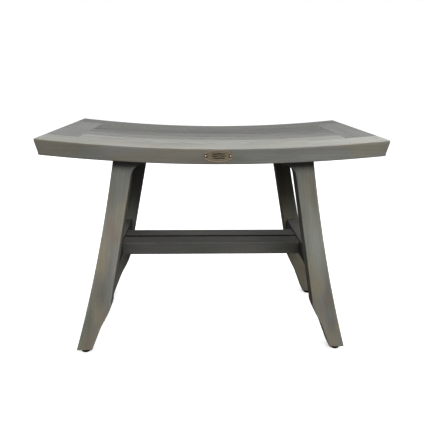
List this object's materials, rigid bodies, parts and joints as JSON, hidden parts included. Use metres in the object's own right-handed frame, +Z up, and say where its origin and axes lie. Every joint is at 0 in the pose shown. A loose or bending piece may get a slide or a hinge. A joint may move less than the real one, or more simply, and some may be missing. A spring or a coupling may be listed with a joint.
{
  "type": "bath transfer bench",
  "caption": "Low wooden shower and bath bench: dished slatted seat on splayed, curved legs tied by side rails and an H stretcher, with screw-in levelling feet.",
  "frame": {"origin": "on the floor under the middle of the seat, at the underside of the foot pads", "axes": "+X along the seat towards its right end, +Y to the back, +Z up"},
  "size_m": [0.61, 0.3066, 0.467],
  "materials": {
    "teak": "weathered grey, oiled, satin to matt",
    "teak_joinery": "bare, unweathered",
    "steel": "stainless, plain",
    "insert_brass": "turned",
    "foot_plastic": "moulded black, satin",
    "badge_brass": null
  },
  "bodies": {
    "bench": {"seat_front_rail": "teak", "seat_back_rail": "teak", "seat_left_end_rail": "teak", "seat_right_end_rail": "teak", "seat_slat_1": "teak", "seat_slat_2": "teak", "seat_slat_3": "teak", "seat_slat_4": "teak", "seat_slat_5": "teak", "seat_centre_batten": "teak", "leg_front_left": "teak", "leg_front_right": "teak", "leg_back_left": "teak", "leg_back_right": "teak", "top_rail_left": "teak", "top_rail_right": "teak", "side_rail_left": "teak", "side_rail_right": "teak", "stretcher_front": "teak", "stretcher_back": "teak", "seat_corner_tenon_front_left": "teak_joinery", "seat_corner_tenon_front_right": "teak_joinery", "seat_corner_tenon_back_left": "teak_joinery", "seat_corner_tenon_back_right": "teak_joinery", "head_dowel_front_left": "teak_joinery", "head_dowel_front_right": "teak_joinery", "head_dowel_back_left": "teak_joinery", "head_dowel_back_right": "teak_joinery", "screw_plug_front_left": "teak", "screw_plug_front_right": "teak", "screw_plug_back_left": "teak", "screw_plug_back_right": "teak", "batten_screw_1": "steel", "batten_screw_2": "steel", "batten_screw_3": "steel", "batten_screw_4": "steel", "batten_screw_5": "steel", "top_rail_screw_front_left": "steel", "top_rail_screw_front_right": "steel", "top_rail_screw_back_left": "steel", "top_rail_screw_back_right": "steel", "stretcher_screw_front_left": "steel", "stretcher_screw_front_right": "steel", "stretcher_screw_back_left": "steel", "stretcher_screw_back_right": "steel", "foot_insert_front_left": "insert_brass", "foot_insert_front_right": "insert_brass", "foot_insert_back_left": "insert_brass", "foot_insert_back_right": "insert_brass", "badge_plate": "badge_brass", "badge_pin_1": "badge_brass", "badge_pin_2": "badge_brass"},
    "pad_front_left": {"foot_pad_front_left": "foot_plastic"},
    "stud_front_left": {"foot_stud_front_left": "steel"},
    "pad_front_right": {"foot_pad_front_right": "foot_plastic"},
    "stud_front_right": {"foot_stud_front_right": "steel"},
    "pad_back_left": {"foot_pad_back_left": "foot_plastic"},
    "stud_back_left": {"foot_stud_back_left": "steel"},
    "pad_back_right": {"foot_pad_back_right": "foot_plastic"},
    "stud_back_right": {"foot_stud_back_right": "steel"}
  },
  "joints": [
    {"name": "foot_height_front_left", "type": "slide", "parent": "bench", "child": "pad_front_left", "axis": [0, 0, -1], "range_m": [0, 0.007]},
    {"name": "foot_turn_front_left", "type": "hinge", "parent": "pad_front_left", "child": "stud_front_left", "pos_m": [-0.27535, -0.1139, 0.02], "axis": [0, 0, -1], "range_deg": [0, 2520]},
    {"name": "foot_height_front_right", "type": "slide", "parent": "bench", "child": "pad_front_right", "axis": [0, 0, -1], "range_m": [0, 0.007]},
    {"name": "foot_turn_front_right", "type": "hinge", "parent": "pad_front_right", "child": "stud_front_right", "pos_m": [0.27535, -0.1139, 0.02], "axis": [0, 0, -1], "range_deg": [0, 2520]},
    {"name": "foot_height_back_left", "type": "slide", "parent": "bench", "child": "pad_back_left", "axis": [0, 0, -1], "range_m": [0, 0.007]},
    {"name": "foot_turn_back_left", "type": "hinge", "parent": "pad_back_left", "child": "stud_back_left", "pos_m": [-0.27535, 0.1139, 0.02], "axis": [0, 0, -1], "range_deg": [0, 2520]},
    {"name": "foot_height_back_right", "type": "slide", "parent": "bench", "child": "pad_back_right", "axis": [0, 0, -1], "range_m": [0, 0.007]},
    {"name": "foot_turn_back_right", "type": "hinge", "parent": "pad_back_right", "child": "stud_back_right", "pos_m": [0.27535, 0.1139, 0.02], "axis": [0, 0, -1], "range_deg": [0, 2520]}
  ],
  "couplings": [
    {"joint": "foot_turn_front_left", "follows": "foot_height_front_left", "rad_per_m": 6283.2},
    {"joint": "foot_turn_front_right", "follows": "foot_height_front_right", "rad_per_m": 6283.2},
    {"joint": "foot_turn_back_left", "follows": "foot_height_back_left", "rad_per_m": 6283.2},
    {"joint": "foot_turn_back_right", "follows": "foot_height_back_right", "rad_per_m": 6283.2}
  ]
}
